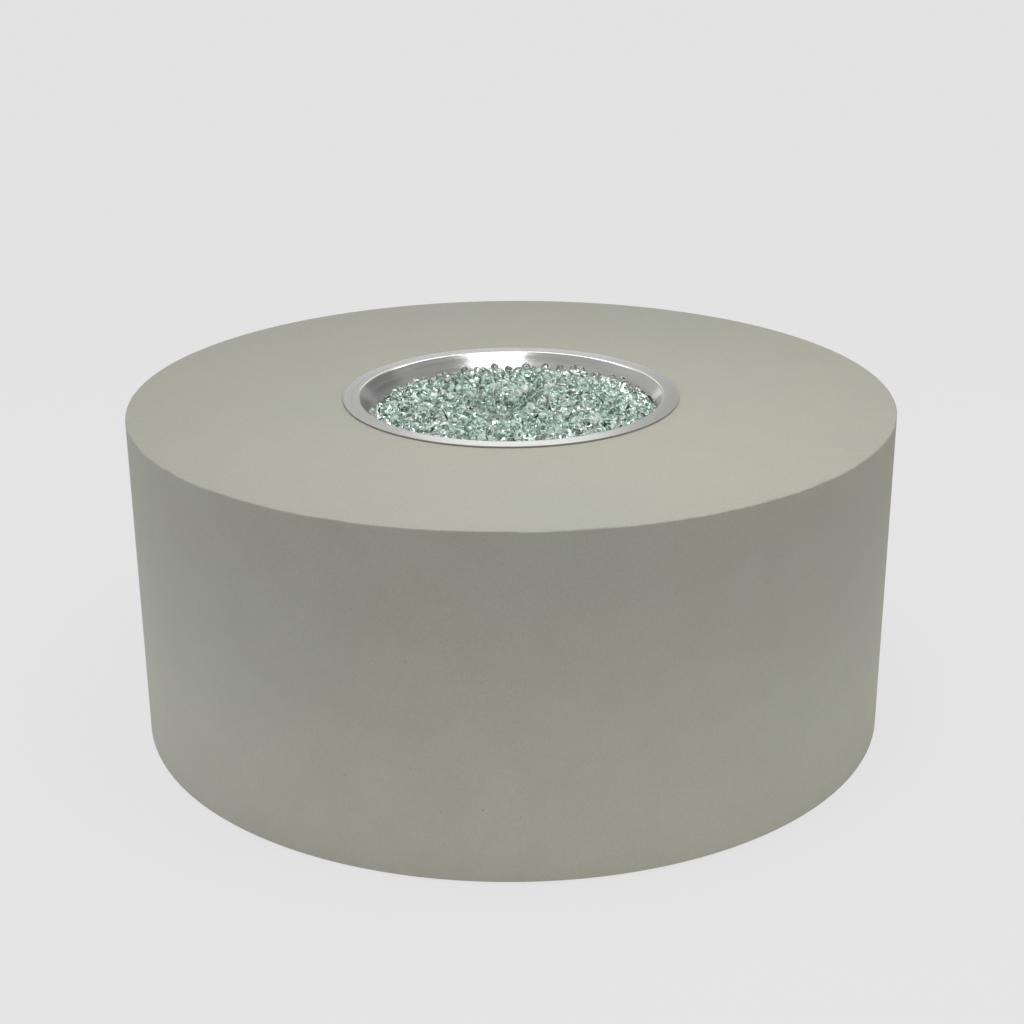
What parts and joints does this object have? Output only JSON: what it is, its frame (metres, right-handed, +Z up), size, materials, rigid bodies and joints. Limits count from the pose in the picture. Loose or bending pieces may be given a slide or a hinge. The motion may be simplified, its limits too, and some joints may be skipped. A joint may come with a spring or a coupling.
{
  "type": "gas fire pit table",
  "caption": "Round cast concrete fire pit table with a drop-in stainless burner pan full of fire glass, and its gas valve and igniter in a rear pocket.",
  "frame": {"origin": "on the floor, under the axis of the drum", "axes": "+Z up, +Y to the rear where the controls are, +X to the right seen from the front"},
  "size_m": [1.067, 1.0669, 0.4705],
  "materials": {
    "concrete": "matte cast concrete",
    "pan_steel": "spun and brushed",
    "pocket_steel": "brushed sheet",
    "stainless": "satin",
    "flex_steel": "corrugated",
    "brass": "machined",
    "copper": "drawn",
    "rubber": "matte",
    "ceramic": "unglazed",
    "fire_glass": "tumbled",
    "black_plastic": "moulded",
    "red_plastic": "moulded",
    "battery": "sleeved",
    "silicone": "matte"
  },
  "bodies": {
    "drum": {"drum_shell": "concrete", "pan_gasket": "rubber", "control_box": "pocket_steel", "control_box_screws": "stainless", "valve_bonnet": "brass", "bonnet_screws": "stainless", "valve_screws": "stainless", "valve_body": "brass", "inlet_fitting": "brass", "outlet_fitting": "brass", "hose_nut_valve": "brass", "magnet_unit": "brass", "igniter_housing": "black_plastic", "igniter_nut": "black_plastic", "igniter_cap": "black_plastic", "igniter_spring": "stainless", "igniter_battery": "battery", "gas_hose": "flex_steel", "igniter_lead": "silicone", "thermocouple_lead": "copper", "vent_grille_left": "pocket_steel", "vent_grille_right": "pocket_steel", "vent_screws": "stainless", "foot_pad_1": "rubber", "foot_pad_2": "rubber", "foot_pad_3": "rubber", "foot_pad_4": "rubber", "foot_pad_5": "rubber", "foot_pad_6": "rubber"},
    "plug": {"valve_plug": "brass", "stem_spring": "stainless"},
    "knob": {"valve_stem": "stainless", "control_knob": "black_plastic"},
    "button": {"igniter_button": "red_plastic"},
    "pan": {"burner_pan": "pan_steel", "burner_ring": "stainless", "gas_nipple": "brass", "pan_washer": "stainless", "lock_nut": "brass", "air_mixer": "brass", "orifice_fitting": "brass", "hose_nut_burner": "brass", "pilot_bracket": "stainless", "pilot_screws": "stainless", "pilot_nuts": "stainless", "electrode_insulator": "ceramic", "electrode_rod": "stainless", "thermocouple_probe": "copper", "glass_bed": "fire_glass", "fire_glass": "fire_glass"}
  },
  "joints": [
    {"name": "valve_turn", "type": "hinge", "parent": "drum", "child": "plug", "pos_m": [-0.042, 0.4735, 0.29], "axis": [0, 1, 0], "range_deg": [0, 180]},
    {"name": "knob_push", "type": "slide", "parent": "plug", "child": "knob", "axis": [0, -1, 0], "range_m": [0, 0.004], "stiffness_N_per_m": 1200, "deforming": ["stem_spring"]},
    {"name": "button_push", "type": "slide", "parent": "drum", "child": "button", "axis": [0, -1, 0], "range_m": [0, 0.003], "stiffness_N_per_m": 1000, "deforming": ["igniter_spring"]},
    {"name": "pan_lift", "type": "slide", "parent": "drum", "child": "pan", "axis": [0, 0, 1], "range_m": [0, 0.16], "deforming": ["gas_hose", "igniter_lead", "thermocouple_lead"]}
  ]
}
